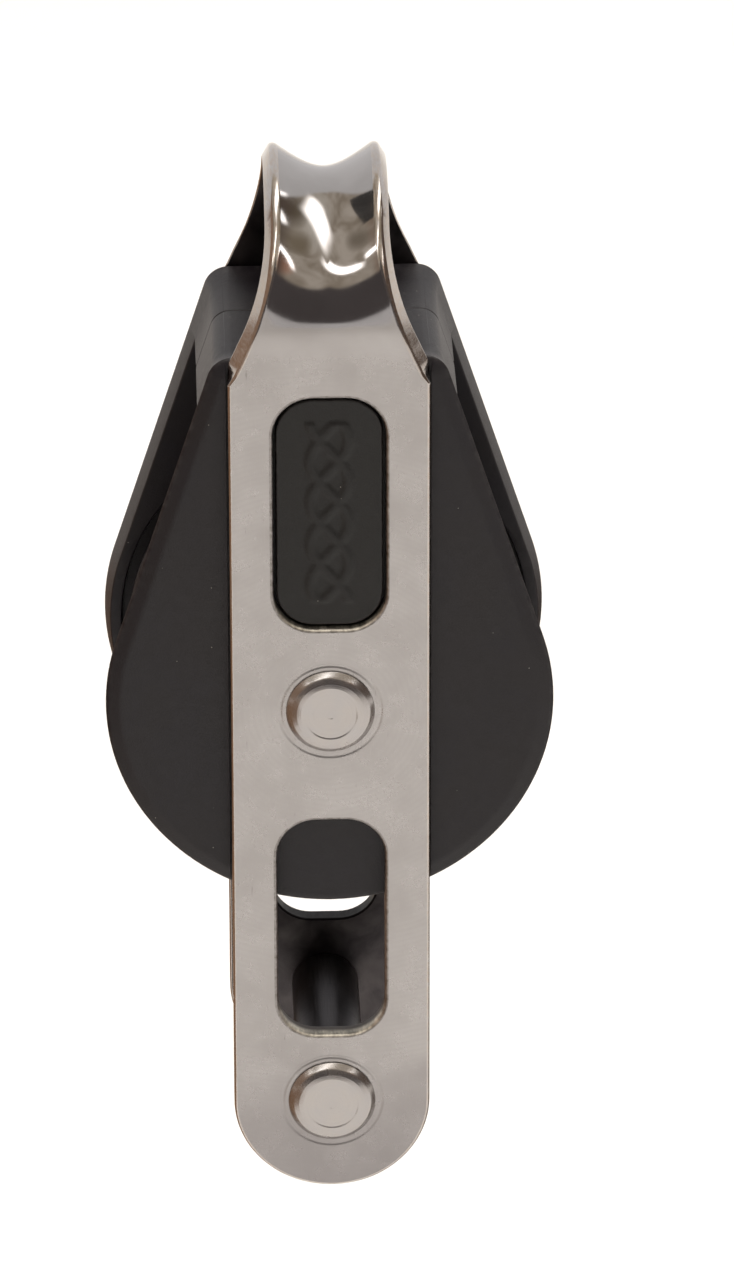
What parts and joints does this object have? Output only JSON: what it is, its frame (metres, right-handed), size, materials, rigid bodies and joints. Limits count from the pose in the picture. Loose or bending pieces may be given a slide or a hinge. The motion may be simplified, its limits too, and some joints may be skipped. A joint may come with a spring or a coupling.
{
  "type": "single sheave block",
  "caption": "Pulley block with a dished ball-bearing sheave between black cheeks, in a riveted steel strap bent into a saddle-shaped head, with a becket below.",
  "frame": {"origin": "centre of the sheave on the axle, which is also the centre of the whole block's box", "axes": "+Z towards the head along the block's length, +Y along the axle to the rear, +X to the right across the cheeks"},
  "size_m": [0.045, 0.0296, 0.1094],
  "materials": {
    "strap_steel": "tumbled satin on the flat legs, polished to a mirror on the saddle head",
    "rivet_steel": "bright, with a turned flat on each head",
    "tube_steel": "drawn tube, plain",
    "cheek_plastic": "moulded, fine matte texture",
    "race_plastic": "moulded, smooth",
    "sheave_plastic": "moulded and turned, satin in the groove",
    "ball_plastic": "ground and polished"
  },
  "bodies": {
    "frame": {"head_strap": "strap_steel", "front_cheek": "cheek_plastic", "rear_cheek": "cheek_plastic", "axle_rivet": "rivet_steel", "axle_tube": "tube_steel", "becket_rivet": "rivet_steel", "becket_tube": "tube_steel", "front_inner_race": "race_plastic", "rear_inner_race": "race_plastic"},
    "sheave_wheel": {"sheave": "sheave_plastic"},
    "front_ball_row": {"front_ball_01": "ball_plastic", "front_ball_02": "ball_plastic", "front_ball_03": "ball_plastic", "front_ball_04": "ball_plastic", "front_ball_05": "ball_plastic", "front_ball_06": "ball_plastic", "front_ball_07": "ball_plastic", "front_ball_08": "ball_plastic", "front_ball_09": "ball_plastic", "front_ball_10": "ball_plastic", "front_ball_11": "ball_plastic"},
    "rear_ball_row": {"rear_ball_01": "ball_plastic", "rear_ball_02": "ball_plastic", "rear_ball_03": "ball_plastic", "rear_ball_04": "ball_plastic", "rear_ball_05": "ball_plastic", "rear_ball_06": "ball_plastic", "rear_ball_07": "ball_plastic", "rear_ball_08": "ball_plastic", "rear_ball_09": "ball_plastic", "rear_ball_10": "ball_plastic", "rear_ball_11": "ball_plastic"}
  },
  "joints": [
    {"name": "sheave_spin", "type": "hinge", "parent": "frame", "child": "sheave_wheel", "pos_m": [0, 0, 0], "axis": [0, 1, 0], "continuous": true},
    {"name": "front_row_orbit", "type": "hinge", "parent": "frame", "child": "front_ball_row", "pos_m": [0, 0, 0], "axis": [0, 1, 0], "continuous": true},
    {"name": "rear_row_orbit", "type": "hinge", "parent": "frame", "child": "rear_ball_row", "pos_m": [0, 0, 0], "axis": [0, 1, 0], "continuous": true}
  ],
  "couplings": [
    {"joint": "front_row_orbit", "follows": "sheave_spin", "ratio": 0.6384},
    {"joint": "rear_row_orbit", "follows": "sheave_spin", "ratio": 0.6384}
  ]
}
